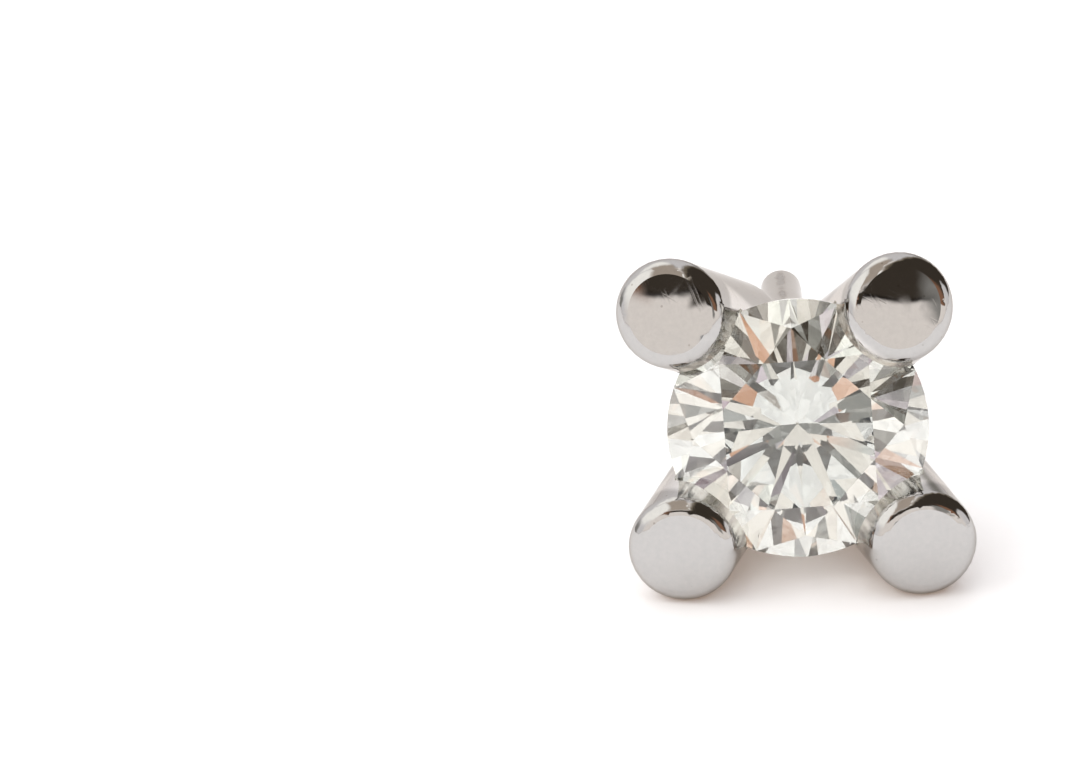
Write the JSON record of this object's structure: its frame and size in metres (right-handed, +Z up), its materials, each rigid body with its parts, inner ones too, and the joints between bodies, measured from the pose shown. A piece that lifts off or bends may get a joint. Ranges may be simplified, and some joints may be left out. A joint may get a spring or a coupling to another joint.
{
  "type": "stud earring",
  "caption": "Claw-set stud earring: round brilliant stone held by thick, splayed round claws that meet in a soldered base with a straight ear post.",
  "frame": {"origin": "on the surface that the earring lies on, under the middle of its outline, with the earring resting on its two lower claws and the tip of its post", "axes": "+Z up, -Y the side that the stone faces, +Y towards the tip of the post, +X to the right as seen from the front; the stud's own axis lies in the YZ plane, 10.7 degrees off Y"},
  "size_m": [0.0067, 0.0156, 0.0064],
  "materials": {
    "white_gold": "polished",
    "diamond": "faceted, clear"
  },
  "bodies": {
    "root": {"setting": "white_gold", "stone": "diamond"}
  },
  "joints": []
}
